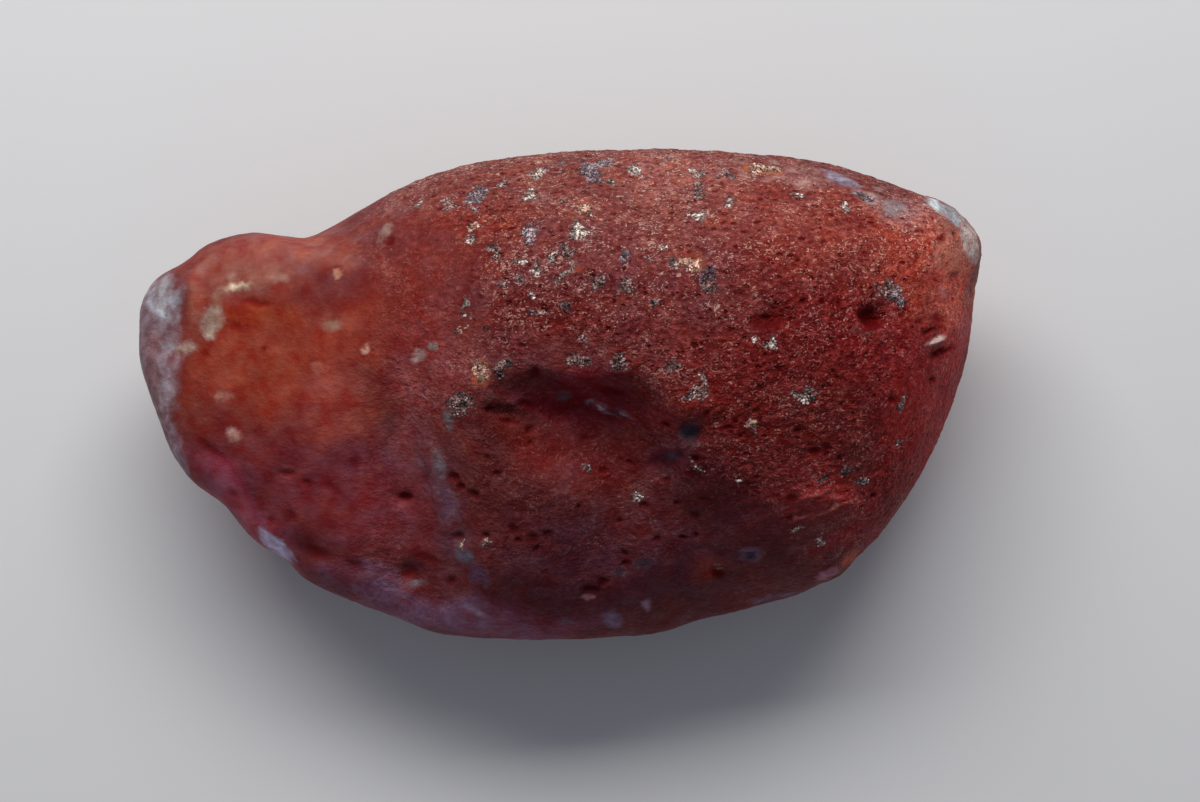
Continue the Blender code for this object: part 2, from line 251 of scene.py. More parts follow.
# How hard the skin was struck, 1 over most of the stone, and less in these places:
# x, y, half length, half width, turn and the amount there.
SMOOTHER_PLACES = {
    "knob and shelf": (-13.5, -1.0, 8.5, 14.0, 0, 0.22),
    "neck": (-6.0, 4.0, 3.4, 4.2, 0, 0.48),
    "lower edge": (0.5, -8.4, 10.0, 3.0, 8, 0.38),
    "hollow": (0.3, -1.4, 5.4, 3.2, -8, 0.45),
    "lower middle": (3.5, -6.4, 8.5, 3.4, 4, 0.44),
    "broad end": (15.6, 0.2, 2.4, 6.5, 0, 0.7),
    "lobe": (-2.0, -3.9, 2.4, 2.6, 0, 0.5),
    "seam": (-5.0, -4.6, 1.9, 4.2, 8, 0.35),
    "bulge": (8.6, 0.2, 5.6, 3.8, -8, 0.85),
    "flank": (10.5, -4.6, 3.0, 1.6, -10, 0.9),
}
STRUCK_FADE = (0.6, 1.3)
STRUCK_WANDER = 1.2
STRUCK_WANDER_SIZE = 2.5


def add(tree, kind, inputs=None, out=0, **settings):
    """Adds a node with its settings and gives back one of its outputs, or all of them where out is None.

    The sockets are filled with values or with other nodes' outputs. Those that share a name go by number:
    a Map Range has value, from low, from high, to low and to high, and a colour Mix has share, 6 and 7.
    """
    node = tree.nodes.new(kind)
    for name, value in settings.items():
        setattr(node, name, value)
    for key, value in (inputs or {}).items():
        if isinstance(value, bpy.types.NodeSocket):
            tree.links.new(value, node.inputs[key])
        else:
            node.inputs[key].default_value = value
    return node.outputs if out is None else node.outputs[out]


def new_tree(name, sizes):
    """A Geometry Nodes tree with a geometry input and the named inputs, as its tree, start and end."""
    tree = bpy.data.node_groups.new(name, "GeometryNodeTree")
    tree.interface.new_socket("Geometry", in_out="INPUT", socket_type="NodeSocketGeometry")
    tree.interface.new_socket("Geometry", in_out="OUTPUT", socket_type="NodeSocketGeometry")
    for label, kind in sizes.items():
        tree.interface.new_socket(label, in_out="INPUT", socket_type=kind)
    return tree, tree.nodes.new("NodeGroupInput").outputs, tree.nodes.new("NodeGroupOutput").inputs


def grow(piece, tree, values):
    """Runs the tree on the piece with its named inputs set, and keeps the result as a plain mesh."""
    modifier = piece.modifiers.new(tree.name, "NODES")
    modifier.node_group = tree
    for item in tree.interface.items_tree:
        if item.in_out == "INPUT" and item.name in values:
            modifier[item.identifier] = values[item.name]
    apply_modifiers(piece)


points = read_points(pebble.data)
struck = np.ones(len(points))
loose = wander(points, size=STRUCK_WANDER_SIZE, reach=STRUCK_WANDER)
for *oval, amount in SMOOTHER_PLACES.values():
    cover = oval_cover(loose, *oval, *STRUCK_FADE)
    struck += (np.minimum(struck, amount) - struck) * cover
keep(pebble.data, "struck", struck)

skin, given, result = new_tree("frosted skin", {
    "Pit spacing": "NodeSocketFloat", "Pit depth": "NodeSocketFloat",
    "Peel size": "NodeSocketFloat", "Peel depth": "NodeSocketFloat",
    "Swell size": "NodeSocketFloat", "Swell height": "NodeSocketFloat",
    "Seed": "NodeSocketInt", "Finish": "NodeSocketMaterial",
})
place = add(skin, "GeometryNodeInputPosition")
struck_in, sunk_in = [
    add(skin, "GeometryNodeInputNamedAttribute", {"Name": name}, data_type="FLOAT")
    for name in ("struck", "sunk")
]
pit_pitch, peel_pitch, swell_pitch = [
    add(skin, "ShaderNodeMath", {0: 1.0, 1: given[size]}, operation="DIVIDE")
    for size in ("Pit spacing", "Peel size", "Swell size")
]

# Percussion pits: cells of a pattern, warped by a noise, some of which hold a pit. Pits come in crowds.
stretched = add(skin, "ShaderNodeVectorMath", {0: place, 1: (0.78, 1.15, 1.15)}, operation="MULTIPLY")
bend = add(skin, "ShaderNodeTexNoise", {"Vector": place, "Scale": 1 / PIT_BEND_SIZE}, out="Color")
bent = add(skin, "ShaderNodeVectorMath", {0: bend, 1: (PIT_BEND,) * 3, 2: stretched},
           operation="MULTIPLY_ADD")
cells = add(skin, "ShaderNodeTexVoronoi", {"W": given["Seed"], "Scale": pit_pitch, "Vector": bent},
            out=None, voronoi_dimensions="4D")
draw = add(skin, "ShaderNodeSeparateXYZ", {0: cells["Color"]}, out=None)
small_draw = add(skin, "ShaderNodeMath", {0: draw[0], 1: 2.5}, operation="POWER")
radius = add(skin, "ShaderNodeMapRange", {0: small_draw, 3: PIT_RADII[0], 4: PIT_RADII[1]})
floor_radius = add(skin, "ShaderNodeMath", {0: radius, 1: PIT_FLOOR}, operation="MULTIPLY")
bowl = add(skin, "ShaderNodeMapRange", {0: cells["Distance"], 1: radius, 2: floor_radius},
           interpolation_type="SMOOTHSTEP")
crowd = add(skin, "ShaderNodeTexNoise", {"Vector": place, "Scale": 1 / CROWD_SIZE, "Detail": 3.0})
crowd_share = add(skin, "ShaderNodeMapRange", {0: crowd, 1: 0.38, 2: 0.66, 3: 0.04, 4: 0.62})
share = add(skin, "ShaderNodeMath", {0: crowd_share, 1: struck_in}, operation="MULTIPLY")
here = add(skin, "ShaderNodeMath", {0: draw[1], 1: share}, operation="LESS_THAN")
pits = add(skin, "ShaderNodeMath", {0: bowl, 1: here}, operation="MULTIPLY")
depth_draw = add(skin, "ShaderNodeMapRange", {0: draw[0], 3: 0.5, 4: 1.4})
worn_depth = add(skin, "ShaderNodeMapRange", {0: struck_in, 1: 0.2, 2: 0.9, 3: 0.35, 4: 1.0})
depth_here = add(skin, "ShaderNodeMath", {0: depth_draw, 1: worn_depth}, operation="MULTIPLY")
pit_sunk = add(skin, "ShaderNodeMath", {0: pits, 1: depth_here}, operation="MULTIPLY")

# Orange peel, and the broad unevenness under it. Each noise is 0.5 in the middle.
peel = add(skin, "ShaderNodeTexNoise",
           {"Vector": stretched, "Scale": peel_pitch, "Detail": 2.5, "Roughness": 0.6})
swell = add(skin, "ShaderNodeTexNoise", {"Vector": place, "Scale": swell_pitch, "Detail": 2.0})
peel_side, swell_side = [
    add(skin, "ShaderNodeMath", {0: pattern, 1: -0.5}, operation="ADD") for pattern in (peel, swell)
]
peel_struck = add(skin, "ShaderNodeMath", {0: peel_side, 1: struck_in}, operation="MULTIPLY")
pit_height, peel_height, swell_height = [
    add(skin, "ShaderNodeMath", {0: part, 1: given[amount]}, operation="MULTIPLY")
    for part, amount in ((pit_sunk, "Pit depth"), (peel_struck, "Peel depth"), (swell_side, "Swell height"))
]
broad = add(skin, "ShaderNodeMath", {0: peel_height, 1: 2.0, 2: swell_height}, operation="MULTIPLY_ADD")
height = add(skin, "ShaderNodeMath", {0: broad, 1: pit_height}, operation="SUBTRACT")
normal = add(skin, "GeometryNodeInputNormal")
offset = add(skin, "ShaderNodeVectorMath", {0: normal, "Scale": height}, operation="SCALE")
moved = add(skin, "GeometryNodeSetPosition", {"Geometry": given["Geometry"], "Offset": offset})
# The pits' tint for the material, wet red and painted shade, darker where the pits are deeper.
pit_tint = add(skin, "ShaderNodeMath", {0: pits, 1: worn_depth}, operation="MULTIPLY")
pit = add(skin, "ShaderNodeMath", {0: pit_tint, 1: sunk_in}, operation="MAXIMUM")
noted = add(skin, "GeometryNodeStoreNamedAttribute", {"Geometry": moved, "Name": "pit", "Value": pit},
            data_type="FLOAT", domain="POINT")
whole = add(skin, "GeometryNodeRealizeInstances", {0: noted})
finished = add(skin, "GeometryNodeSetMaterial", {"Geometry": whole, "Material": given["Finish"]})
skin.links.new(finished, result[0])

frosted_carnelian = bpy.data.materials.new("frosted carnelian")
grow(pebble, skin, {
    "Pit spacing": PIT_SPACING, "Pit depth": PIT_DEPTH, "Peel size": PEEL_SIZE, "Peel depth": PEEL_DEPTH,
    "Swell size": SWELL_SIZE, "Swell height": SWELL_HEIGHT, "Seed": SKIN_SEED, "Finish": frosted_carnelian,
})
thin = pebble.modifiers.new("fewer faces where it is plain", "DECIMATE")
thin.ratio = SKIN_TRIANGLES / sum(len(face.vertices) - 2 for face in pebble.data.polygons)
thin.use_collapse_triangulate = True
apply_modifiers(pebble)
write_points(pebble.data, read_points(pebble.data))


# The stains. Iron gave the chalcedony its reds, thickest and darkest in the lower middle and clearest
# in the knob, whose orange is partly a painted glow of light shining through it. Some zones are painted
# light and shade: shade on the lower flank and in the hollow, light on the flank and on the right edge,
# and a lilac sheen on the ridge and on the left and lower edges. The rinds at the tips are unstained silica.

# Colour, then x, y, half length and half width in millimetres, turn in degrees, and strength.
STAINS = {
    "pink shoulder": ("#804039", 2.48, 7.99, 14.0, 2.6, -3, 0.8),
    "right shoulder": ("#893228", 11.08, 5.92, 5.5, 2.4, -18, 0.7),
    "broad end": ("#b64939", 14.76, 4.83, 2.4, 2.8, 10, 0.7),
    # Painted light, brighter where the steep right edge turns away from the lamp.
    "painted light on the right edge of the broad end": ("#d95c49", 15.9, 4.5, 0.9, 1.9, 0, 0.7),
    "right edge over the lens": ("#c33c41", 15.8, 1.9, 0.8, 1.6, 0, 0.6),
    "lower broad end": ("#b01010", 14.57, -0.99, 2.6, 3.4, 0, 0.7),
    "dark bulge": ("#70120f", 8.25, -0.2, 6.0, 3.4, -10, 0.7),
    "dark lower middle": ("#54242e", 2.38, -6.84, 7.0, 3.0, 6, 0.85),
    # Painted shade on the lower-left flank of the bulge, which faces away from the lamp.
    "painted shade of the lower flank": ("#4d0e1a", 6.41, -3.86, 5.0, 1.2, -42, 0.7),
    "wall of the hollow": ("#821d2b", 0.2, -0.25, 2.8, 1.0, -10, 0.75),
    "floor of the hollow": ("#5e0808", 0.92, -2.23, 2.8, 1.2, -5, 0.7),
    # Painted light on the flank's facet that faces the lamp.
    "painted light of the flank": ("#9e2c2b", 10.49, -3.78, 2.8, 1.1, -10, 0.6),
    # Orange of the clear knob, partly a painted glow of light shining through it.
    "clear orange knob and its painted glow": ("#a3442c", -12.0, 1.2, 4.2, 3.6, -8, 0.8),
    "middle of the neck": ("#a34636", -8.0, 1.6, 2.6, 2.6, 0, 0.6),
    # Orange heart of the knob, partly a painted glow of light shining through it.
    "orange heart and its painted glow": ("#943513", -11.9, 3.3, 2.2, 0.9, -8, 0.6),
    "pink knob top": ("#9c5548", -11.72, 5.48, 4.0, 1.1, 4, 0.8),
    "neck": ("#7d2416", -6.29, 3.45, 2.6, 3.0, 0, 0.6),
    "plum shelf": ("#81343b", -9.16, -3.72, 6.4, 3.2, -20, 0.75),
    "plum left of the ridge": ("#a94f4d", -5.13, 0.18, 1.6, 3.4, 0, 0.6),
    "sheen of the ridge": ("#674651", -4.52, -3.89, 0.8, 3.2, 10, 0.6),
    # Painted lilac sheen along the lower edge.
    "painted lilac sheen of the lower edge": ("#99667f", -4.94, -8.72, 5.0, 1.0, -16, 0.75),
    # Painted lilac sheen and painted light on the left edge.
    "painted lilac sheen of the left edge": ("#c35b6e", -12.8, -4.5, 3.6, 0.9, -46, 0.6),
    "crimson by the left edge": ("#9c3040", -13.4, -3.3, 1.6, 0.5, -42, 0.4),
    # Painted shade at the left end of the hollow.
    "painted shade at the left end of the hollow": ("#420606", -2.1, -0.8, 1.5, 0.55, -8, 0.8),
    "low neck": ("#cc6150", -8.59, -0.88, 1.8, 1.2, 0, 0.5),
    "crimson of the broad end": ("#8e1b1d", 13.12, 1.72, 2.4, 2.8, 0, 0.6),
    "lower right crimson": ("#7a0b0b", 13.68, -2.95, 1.7, 2.4, -20, 0.6),
    "crimson under the flank": ("#9c1b27", 11.8, -5.5, 1.8, 0.9, 20, 0.6),
    "red channel of the left tip": ("#af6a56", -14.6, 4.0, 0.5, 1.4, -20, 0.65),
    "deep red round the deep pit": ("#6d0a0a", 10.5, 2.8, 3.0, 1.9, 0, 0.7),
    "deep red of the middle": ("#5e0c08", -0.5, 2.9, 2.6, 1.6, 0, 0.6),
    # Dark red painted shade on the hollow's right wall.
    "painted shade of the hollow's right wall": ("#741c22", 2.9, -0.2, 1.9, 0.8, -28, 0.5),
    "pale middle of the shoulder": ("#a56158", 4.6, 8.8, 3.2, 1.3, -4, 0.55),
    "grey-pink corner of the shoulder": ("#a67b78", 13.3, 7.2, 1.5, 0.8, -25, 0.55),
    "red left of the shoulder": ("#791f0b", -3.0, 6.3, 2.0, 1.5, 20, 0.55),
    "red right of the middle": ("#690f09", 7.7, 5.1, 2.0, 1.3, 0, 0.5),
    "red under the wall": ("#63160d", -1.6, -2.0, 1.9, 0.9, -8, 0.55),
    "lobe": ("#461112", -2.0, -3.9, 2.0, 1.5, 0, 0.5),
    "foot of the flank": ("#792c34", 7.99, -4.85, 1.6, 1.2, 0, 0.5),
    "orange under the flank": ("#a8391d", 5.83, -7.1, 1.0, 0.6, 0, 0.42),
    "plum lower edge": ("#843348", -0.57, -9.09, 2.8, 0.8, 0, 0.6),
}
BASE_STAIN = "#6f302f"
STAIN_WANDER = 1.0
STAIN_WANDER_SIZE = 2.6
STAIN_FADE = (0.3, 1.3)
# The pale rinds: colour, place, size, turn and strength as above. The rim down the left is a painted
# highlight, and the hazes along the upper edge are partly painted sheen.
RINDS = {
    "lilac left tip": ("#8d787e", -16.4, 1.6, 1.3, 3.6, 5, 0.85),
    "bright silica of the left tip": ("#a8a6ae", -15.75, 3.95, 0.85, 1.0, 30, 0.85),
    "dusky band of the left tip": ("#977478", -16.25, 1.0, 0.32, 1.5, 0, 0.6),
    # Painted highlight along the left rim.
    "painted highlight down the left rim": ("#a8949f", -15.4, -2.4, 0.34, 1.9, 18, 0.55),
    "inner band of the left tip": ("#b09da4", -15.65, 0.6, 0.42, 1.7, -4, 0.6),
    "haze over the knob": ("#996051", -11.9, 4.75, 1.7, 0.55, 5, 0.5),
    "glassy right tip": ("#9c6356", 16.14, 6.28, 0.8, 1.9, 35, 0.7),
    "haze under the right tip": ("#b87c68", 15.42, 5.44, 0.9, 1.0, 0, 0.5),
    # Pale haze along the upper edge, partly painted sheen.
    "pale haze and painted sheen beside the upper edge": ("#c8a098", 12.24, 7.85, 0.8, 0.32, -10, 0.5),
    "pale haze and painted sheen along the upper edge": ("#c8a29a", 9.15, 8.72, 3.0, 0.55, -8, 0.25),
    "second haze of the upper edge": ("#888b90", 13.17, 7.23, 0.6, 0.4, -10, 0.45),
    "lilac of the seam, top": ("#68868a", -4.16, -0.97, 0.42, 0.55, 0, 0.55),
    "lilac of the seam, middle": ("#776e74", -4.75, -2.82, 0.34, 0.85, 5, 0.6),
    "lilac of the seam, foot": ("#5a3c4f", -4.58, -4.19, 0.3, 0.8, 0, 0.55),
    "grey smear under the seam": ("#5e6776", -3.76, -6.15, 0.38, 0.6, 20, 0.6),
    "end of the smear": ("#5c4a65", -3.18, -7.13, 0.6, 0.3, -45, 0.55),
    "purple beside the pocket": ("#893a47", 4.2, -2.4, 0.95, 0.5, 10, 0.55),
}
BASE_MINERAL = "#80747d"
RIND_WANDER = 0.4
RIND_WANDER_SIZE = 0.8
RIND_FADE = (0.4, 1.25)
# Smaller marks, each where it is on the stone: pale dots, white knots, chips and orange halos, and painted
# highlights and sheen on the lens, the deep pit's lower rim and the lower and lower-left edges.
MARKS = {
    "white of the left tip": ("#a09c9f", -15.8, 4.2, 0.55, 0.34, 46, 0.7),
    "white knot of the left tip": ("#c6cece", -15.78, 3.3, 0.16, 0.26, 0, 0.9),
    "white arm": ("#9a979b", -15.3, 1.95, 0.55, 0.2, -8, 0.7),
    "end of the white arm": ("#afa08f", -14.8, 1.9, 0.4, 0.26, 10, 0.6),
    "cream patch": ("#aea694", -13.75, 2.95, 0.42, 0.66, -12, 0.62),
    "white foot of the cream patch": ("#bda996", -13.75, 2.3, 0.24, 0.17, 0, 0.85),
    "arc over the cream patch": ("#a07e67", -13.45, 3.9, 0.45, 0.28, 55, 0.42),
    "cream streak": ("#edd6b5", -12.63, 4.25, 0.46, 0.2, 0, 0.85),
    "red heart of the round pit": ("#9f2f30", -6.0, -7.1, 0.34, 0.28, 0, 0.75),
    "pale ring of the round pit": ("#79797e", -5.75, -7.55, 0.5, 0.16, 10, 0.5),
    "first dot of the knob": ("#b58b7a", -10.97, 4.57, 0.3, 0.22, 0, 0.6),
    "second dot of the knob": ("#a58578", -13.01, 4.7, 0.25, 0.2, 0, 0.6),
    "dot of the neck": ("#a98a76", -8.79, 2.75, 0.4, 0.26, 10, 0.55),
    "low dot of the neck": ("#b56a54", -9.35, 1.06, 0.4, 0.22, 0, 0.42),
    "dot under the knob": ("#d49c8a", -13.37, -0.01, 0.36, 0.2, 0, 0.65),
    "dot over the shelf": ("#ca9487", -12.89, -1.57, 0.28, 0.26, 0, 0.8),
    "dot by the dip": ("#eaab85", -8.68, 4.69, 0.2, 0.22, 0, 0.7),
    "dot of the middle neck": ("#d8a48f", -7.56, 1.73, 0.2, 0.2, 0, 0.7),
    "first pale spot left of the seam": ("#c5b1a4", -5.41, 1.53, 0.3, 0.3, 0, 0.6),
    "second pale spot left of the seam": ("#8d9d94", -4.91, 1.9, 0.2, 0.2, 0, 0.6),
    "third pale spot left of the seam": ("#883c3f", -5.75, -0.49, 0.22, 0.14, 0, 0.6),
    "streak over the neck": ("#a58d7f", -6.87, 6.42, 0.46, 0.2, 60, 0.62),
    "white streak of the right tip": ("#e0ebed", 15.08, 7.48, 0.62, 0.24, -32, 0.95),
    "blue-white edge of the right tip": ("#a8b0b4", 15.69, 7.14, 0.75, 0.32, -42, 0.85),
    "white knob of the right tip": ("#c8b9b1", 16.36, 6.1, 0.38, 0.85, 12, 0.9),
    "lilac upper edge": ("#9b99ac", 11.18, 8.54, 0.85, 0.24, -28, 0.65),
    "lilac spot of the broad end": ("#c18185", 15.11, 4.03, 0.25, 0.3, 0, 0.5),
    # Painted highlight on the lens.
    "painted highlight of the lens": ("#d0b5ab", 14.81, 2.13, 0.5, 0.14, 22, 0.95),
    # Painted light on the lower rim of the deep pit.
    "painted light on the lower rim of the deep pit": ("#75382e", 11.6, 2.45, 0.4, 0.16, -35, 0.7),
    "orange spot by the deep pit": ("#8d2b1f", 12.3, 2.3, 0.28, 0.18, 20, 0.85),
    "orange halo of the upper edge": ("#d87a4c", 7.99, 8.99, 0.85, 0.26, -6, 0.38),
    "orange halo of the shoulder": ("#944223", 5.31, 5.17, 0.5, 0.38, -30, 0.5),
    "orange halo over the hollow": ("#e26929", -2.98, 0.8, 0.36, 0.6, 0, 0.6),
    "orange hint by the middle": ("#9c401d", 0.74, 4.84, 0.3, 0.16, 0, 0.6),
    "chip in the hollow": ("#4f3443", 1.54, -0.44, 0.48, 0.17, -22, 0.7),
    "second chip in the hollow": ("#4a3d4b", 2.42, -0.75, 0.26, 0.14, -20, 0.7),
    "grey of the wall": ("#59575c", 0.15, -0.06, 0.34, 0.24, 0, 0.45),
    "bright edge of the chip": ("#9a8290", 1.78, -0.62, 0.4, 0.07, -24, 0.8),
    "bright end of the chip": ("#a08a94", 1.22, -0.25, 0.16, 0.08, 10, 0.8),
    "bright edge of the second chip": ("#8a7a8e", 2.56, -0.8, 0.2, 0.07, -20, 0.8),
    "slate pocket": ("#4e4854", 5.05, -1.45, 0.4, 0.38, 0, 0.85),
    "pale rim of the pocket": ("#443636", 5.15, -1.92, 0.34, 0.1, 10, 0.7),
    "core of the dent": ("#755461", 4.4, -2.4, 0.34, 0.2, 10, 0.8),
    "first streak of the flank": ("#764038", 10.1, -3.87, 0.75, 0.07, 16, 0.5),
    "second streak of the flank": ("#de8f75", 11.11, -4.28, 0.7, 0.07, 18, 0.5),
    "third streak of the flank": ("#ed7566", 9.76, -4.77, 0.8, 0.1, 12, 0.45),
    # Painted lilac sheen along the lower-left edge.
    "painted lilac sheen of the lower-left edge": ("#d1c8e4", -11.39, -6.05, 0.95, 0.34, -42, 0.9),
    # Painted lilac highlight along the lower edge.
    "first painted lilac highlight of the lower edge": ("#ab8ea4", -3.42, -8.57, 0.5, 0.2, -28, 0.75),
    "second chip of the lower edge": ("#66505c", 0.22, -9.04, 0.28, 0.18, 0, 0.6),
    # Painted lilac highlights along the lower edge.
    "second painted lilac highlight of the lower edge": ("#856c88", 2.1, -9.01, 0.48, 0.36, -30, 0.7),
    "third painted lilac highlight of the lower edge": ("#b489a0", 3.48, -8.4, 0.22, 0.3, 30, 0.6),
    "grey spot": ("#3b3941", 3.31, -6.59, 0.36, 0.26, 20, 0.75),
    "faint grey spot": ("#2e3544", 2.38, -6.94, 0.24, 0.22, 0, 0.55),
    "grey-blue spot": ("#7a5c76", 7.58, -6.32, 0.44, 0.28, 0, 0.8),
    "core of the grey-blue spot": ("#342c4b", 7.58, -6.37, 0.2, 0.14, 0, 0.9),
    "pale rim over the lower edge": ("#cf9191", 1.16, -8.0, 0.22, 0.12, 20, 0.7),
    "pale edge under the flank": ("#bc7d8e", 10.75, -7.21, 0.55, 0.24, 25, 0.8),
    "tan edge under the flank": ("#c35b41", 11.64, -6.56, 0.55, 0.26, 40, 0.6),
    "pale lower rim": ("#775f74", 8.61, -8.16, 1.1, 0.16, 12, 0.6),
}
MARK_WANDER = 0.12
MARK_WANDER_SIZE = 0.35
MARK_FADE = (0.45, 1.35)


def linear(hex_colour):
    """An sRGB hex colour as linear red, green and blue."""
    value = int(hex_colour.lstrip("#"), 16)
    shares = np.array([value >> shift & 255 for shift in (16, 8, 0)]) / 255
    return np.where(shares <= 0.04045, shares / 12.92, ((shares + 0.055) / 1.055) ** 2.4)


def paint(colours, points, patches, fade, fill):
    """Lays each named patch over the colours, fading between two shares of its size.

    A filling patch gives its whole colour wherever it reaches, and its strength only goes into the cover.
    """
    most = np.zeros(len(points))
    for hex_colour, *oval, strength in patches.values():
        cover = oval_cover(points, *oval, *fade)
        share = smooth_rise(0.0, 0.4, cover) if fill else strength * cover
        colours = colours + (linear(hex_colour) - colours) * share[:, None]
        most = np.maximum(most, strength * cover)
    return colours, most


points = read_points(pebble.data)
normals = read_points(pebble.data, "normal")
on_top = smooth_rise(0.0, 0.25, normals[:, 2])
stain_places = wander(points, size=STAIN_WANDER_SIZE, reach=STAIN_WANDER)
rind_places = wander(points, size=RIND_WANDER_SIZE, reach=RIND_WANDER)
mark_places = wander(points, size=MARK_WANDER_SIZE, reach=MARK_WANDER)
stain = np.tile(linear(BASE_STAIN), (len(points), 1))
stain, _ = paint(stain, stain_places, STAINS, STAIN_FADE, fill=False)
mineral = np.tile(linear(BASE_MINERAL), (len(points), 1))
mineral, rind = paint(mineral, rind_places, RINDS, RIND_FADE, fill=True)
mineral, marked = paint(mineral, mark_places, MARKS, MARK_FADE, fill=True)
keep(pebble.data, "stain", stain)
keep(pebble.data, "rind", np.maximum(rind, marked * on_top))


# The crystal patches. Where the chalcedony ended in open cracks it grew a fine druse of quartz, grey,
# cream or white with dark gaps between the grains. They are mostly along the shoulder.

# x, y, half length and half width in millimetres, and turn in degrees.
CRYSTAL_PATCHES = {
    "#8d6e67": [
        (-4.36, 7.52, 0.28, 0.2, 0), (-2.52, 5.55, 0.22, 0.3, 40), (0.31, 5.62, 0.34, 0.24, -20),
        (0.6, 5.03, 0.24, 0.3, 0), (1.36, 4.35, 0.36, 0.18, 0), (2.6, 4.16, 0.34, 0.24, 20),
        (-0.78, 3.22, 0.28, 0.18, 0), (0.7, 1.32, 0.42, 0.26, 0), (2.31, 1.17, 0.34, 0.32, 20),
        (5.29, 0.03, 0.5, 0.24, 10), (5.57, 0.55, 0.34, 0.16, -40), (-3.86, -0.39, 0.52, 0.42, 0),
        (-2.17, 1.13, 0.22, 0.22, 0), (12.81, 4.11, 0.5, 0.36, 0), (5.5, 8.08, 0.22, 0.26, 0),
        (5.72, 4.06, 0.18, 0.26, 0), (9.58, -0.01, 0.3, 0.16, 0), (13.39, -0.3, 0.18, 0.26, 0),
        (5.34, -2.79, 0.26, 0.16, 0), (4.44, 1.12, 0.26, 0.13, 10), (6.6, 8.72, 0.45, 0.14, 0),
        (4.27, 9.39, 0.24, 0.12, 0), (-1.55, 4.56, 0.18, 0.14, 0), (-2.12, 4.18, 0.2, 0.14, 0),
        (2.55, 5.22, 0.26, 0.15, 0), (3.5, 5.23, 0.22, 0.15, -20), (4.55, 5.02, 0.2, 0.14, 0),
        (0.27, 3.5, 0.28, 0.15, 0), (3.59, 3.58, 0.2, 0.12, 20), (1.03, 2.07, 0.18, 0.12, 0),
        (-2.78, 2.56, 0.22, 0.14, 0), (10.28, -3.29, 0.2, 0.14, 0),
    ],
    "#917e82": [
        (-3.29, 7.82, 0.55, 0.3, 45), (1.21, 8.8, 0.5, 0.34, -35), (1.7, 9.24, 0.45, 0.14, 20),
        (-1.09, 6.24, 0.24, 0.42, -30), (0.01, 9.21, 0.3, 0.12, 10), (2.55, 5.32, 0.2, 0.2, 0),
        (12.02, 7.74, 0.4, 0.2, -10), (13.11, 3.83, 0.34, 0.26, 0), (13.37, -1.76, 0.16, 0.2, 0),
    ],
    "#bfaca0": [
        (-0.87, 8.73, 0.36, 0.2, 10), (-1.23, 7.79, 0.22, 0.22, 0), (0.78, 6.32, 0.3, 0.4, 0),
        (-1.65, 5.1, 0.26, 0.18, 0), (-0.83, 4.85, 0.2, 0.26, 0), (0.22, 4.6, 0.28, 0.16, 0),
        (5.43, 8.89, 0.22, 0.18, 0), (6.63, 7.43, 0.24, 0.16, 0), (5.36, 7.03, 0.28, 0.12, 0),
        (9.39, -5.26, 0.26, 0.12, 0), (3.05, -3.98, 0.18, 0.26, 0), (8.12, 2.07, 0.3, 0.1, 10),
        (9.2, -0.06, 0.26, 0.12, -10), (7.37, 2.07, 0.2, 0.1, 0), (3.03, 8.85, 0.2, 0.2, 0),
        (3.99, 5.62, 0.15, 0.12, 0), (-3.41, 5.96, 0.16, 0.16, 0), (-1.06, 3.79, 0.14, 0.16, 0),
        (1.99, 8.31, 0.16, 0.12, 0), (9.46, 7.76, 0.3, 0.14, 0), (-0.31, 5.33, 0.14, 0.12, 0),
        (11.18, 7.35, 0.2, 0.22, 0), (-3.66, 3.43, 0.12, 0.26, 10), (-3.6, 3.04, 0.2, 0.12, -40),
        (6.97, -3.37, 0.16, 0.16, 0), (11.94, -3.41, 0.16, 0.14, 0), (10.21, -5.78, 0.24, 0.16, 0),
        (1.12, -2.86, 0.14, 0.1, 0), (-5.56, 7.55, 0.26, 0.16, 0), (-2.24, 8.46, 0.18, 0.14, 0),
    ],
    "#c19781": [
        (-2.98, 0.85, 0.3, 0.44, 0), (5.06, 4.92, 0.4, 0.34, -20), (7.89, 8.94, 0.45, 0.16, -10),
        (0.92, 7.14, 0.28, 0.26, 0), (-3.97, -5.82, 0.16, 0.12, 0), (-2.86, -5.83, 0.16, 0.12, 0),
        (6.31, -6.78, 0.22, 0.14, 0), (-3.37, 6.51, 0.15, 0.13, 0), (8.49, 9.0, 0.26, 0.12, 0),
        (7.4, -1.01, 0.2, 0.2, 0), (7.7, -1.35, 0.14, 0.14, 0), (-3.7, 2.47, 0.16, 0.14, 0),
    ],
    "#513c42": [
        (11.21, -2.95, 0.24, 0.18, 0), (-2.22, 0.85, 0.18, 0.18, 0), (5.67, 4.63, 0.18, 0.26, 0),
        (13.36, -0.59, 0.16, 0.18, 0),
    ],
}
PATCH_WANDER = 0.32
PATCH_WANDER_SIZE = 0.5
PATCH_GRAIN = 0.2
PATCH_FADE = (0.35, 1.4)
PATCH_FRINGE = 0.3
HIDDEN_PATCH_COLOUR = "#928c8b"
HIDDEN_PATCH_SPACING = 3.2
HIDDEN_PATCH_DRAW = (9, 2, 5)
# Crystals keep this far from the table, in millimetres.
CLEAR_HEIGHT = 0.5

uneven = wander(points, size=PATCH_WANDER_SIZE, reach=PATCH_WANDER)
uneven = wander(uneven, size=PATCH_GRAIN, reach=PATCH_WANDER / 2)
druse = np.zeros(len(points))
for hex_colour, ovals in CRYSTAL_PATCHES.items():
    for oval in ovals:
        cover = oval_cover(uneven, *oval, *PATCH_FADE) * on_top
        mineral += (linear(hex_colour) - mineral) * smooth_rise(0.0, PATCH_FRINGE, cover)[:, None]
        druse = np.maximum(druse, cover)
